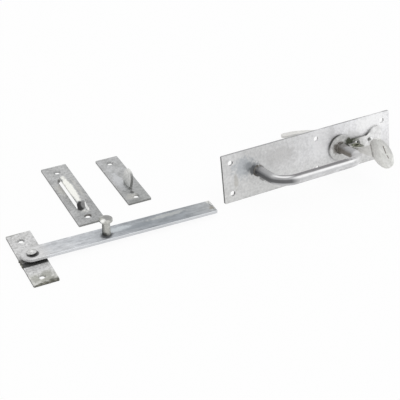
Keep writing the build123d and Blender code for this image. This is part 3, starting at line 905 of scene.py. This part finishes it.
# %% Zinc fringe
RUN_HEIGHT = 1.6 * MM
LONG_STEPS = 60
SHORT_STEPS = 40
fringe_zinc = zinc(
    "fringe_zinc", pale=(150, 149, 138), dull=(84, 83, 74), patch=320, speckle=0.25,
    bump=0.9, rough=(0.5, 0.7), dirt=(50, 49, 42), grime=0.6,
)
near_left_corner = Vector((pivot_low.x, pivot_low.y, RUN_HEIGHT))
near_right_corner = Vector((pivot_high.x, pivot_low.y, RUN_HEIGHT))
left_side = Vector((pivot_low.x, rivet.y, RUN_HEIGHT))
near_edge = line(
    beside(near_left_corner, 2, 0.3), beside(near_right_corner, -0.5, 0.3),
    LONG_STEPS, wander=0.8 * MM, seed=3.0,
)
side_edge = line(
    beside(left_side, 0, 2), beside(left_side, 0, -13), SHORT_STEPS, wander=0.6 * MM, seed=9.0
)
bead("zinc_fringe", near_edge, 1.0 * MM, 0.9, "base", fringe_zinc, 5.0)
bead("zinc_side_run", side_edge, 0.7 * MM, 0.9, "base", fringe_zinc, 1.0)

# %% [markdown]
# ## Shear burr
# The shears that cut the bar left a thin pale burr across its free end. It is
# one more bead, and it rides on the bar.

# %% Shear burr
burr_zinc = zinc(
    "burr_zinc", pale=(228, 228, 225), dull=(190, 190, 186), patch=300, speckle=0.15, bump=0.5
)
near_corner = Vector((bar_high.x, bar_low.y, bar_high.z))
burr_line = line(
    beside(near_corner, -1.6, 18, 0.05), beside(near_corner, -1.9, 2, 0.05),
    SHORT_STEPS, wander=0.4 * MM, seed=4.0,
)
bead("shear_burr", burr_line, 0.65 * MM, 0.9, "bar", burr_zinc, 11.0)

# %% [markdown]
# ## Ground
# The photograph's ground is plain white. White paint alone would turn grey in
# the shade, and glow alone would lose the shadow. So rays from the camera and
# from shiny zinc see mostly glow, and the paint keeps a trace of shadow.

# %% Ground
GROUND_SIZE = 6
GROUND_GLOW = 0.93
GROUND_ROUGHNESS = 0.9


def seen_ray(tree, share):
    # A share for rays from the camera, from gloss and through glass, else none
    path = put(tree, "ShaderNodeLightPath")
    seen = maths(tree, "MAXIMUM", path.outputs["Is Camera Ray"], path.outputs["Is Glossy Ray"])
    seen = maths(tree, "MAXIMUM", seen, path.outputs["Is Transmission Ray"])
    return span(tree, seen, 0.0, 1.0, 0.0, share)


bpy.ops.mesh.primitive_plane_add(size=GROUND_SIZE, location=(0, 0, 0))
floor = bpy.context.object
floor.name = "floor"
white = bpy.data.materials.new("white_ground")
white.use_nodes = True
ground = white.node_tree
paint = ground.nodes["Principled BSDF"]
paint.inputs["Base Color"].default_value = tone(235)
paint.inputs["Roughness"].default_value = GROUND_ROUGHNESS
glow = put(ground, "ShaderNodeEmission")
glow.inputs["Color"].default_value = tone(255)
cover = put(ground, "ShaderNodeMixShader")
ground.links.new(seen_ray(ground, GROUND_GLOW), cover.inputs[0])
ground.links.new(paint.outputs[0], cover.inputs[1])
ground.links.new(glow.outputs[0], cover.inputs[2])
ground.links.new(cover.outputs[0], ground.nodes["Material Output"].inputs["Surface"])
floor.data.materials.append(white)
print(floor.name, "is", GROUND_SIZE, "m wide")

# %% [markdown]
# ## Sky
# A photographer would hang a white tent round the latch, brighter on one side.
# The sky stands for it: the camera and the gloss see plain white, and all other
# light comes from a tent that is brighter above and towards the viewer.

# %% Sky
bright_side = Vector((0.20, -0.40, 0.89)).normalized()
world = bpy.data.worlds.new("studio")
world.use_nodes = True
sky = world.node_tree
plain = sky.nodes["Background"]
plain.inputs["Color"].default_value = tone(255)
plain.inputs["Strength"].default_value = 1.0
tent = put(sky, "ShaderNodeBackground")
tent.inputs["Strength"].default_value = 1.0
where = put(sky, "ShaderNodeTexCoord")
lit = toward(sky, where.outputs["Generated"], bright_side, -0.6, 0.9)
sky.links.new(blend(sky, lit, tone(192), tone(250)), tent.inputs["Color"])
choose = put(sky, "ShaderNodeMixShader")
sky.links.new(seen_ray(sky, 1.0), choose.inputs[0])
sky.links.new(tent.outputs[0], choose.inputs[1])
sky.links.new(plain.outputs[0], choose.inputs[2])
sky.links.new(choose.outputs[0], sky.nodes["World Output"].inputs["Surface"])
scene.world = world
print("tent is brightest toward", bright_side)

# %% [markdown]
# ## Lamp
# A big soft lamp hangs above on the near right. A sun with a wide angle gives
# the same soft edge to every shadow, wherever a piece lies.

# %% Lamp
SUN_WAY = Vector((0.45, -0.35, 0.82))
SUN_STRENGTH = 0.55
SUN_WIDTH = math.radians(50)
sun_data = bpy.data.lights.new("sun", "SUN")
sun_data.energy = SUN_STRENGTH
sun_data.angle = SUN_WIDTH
sun = bpy.data.objects.new("sun", sun_data)
sun.rotation_euler = SUN_WAY.to_track_quat("Z", "Y").to_euler()
scene.collection.objects.link(sun)
scene.view_settings.view_transform = "Standard"
print("sun from", tuple(round(v, 2) for v in sun.rotation_euler))
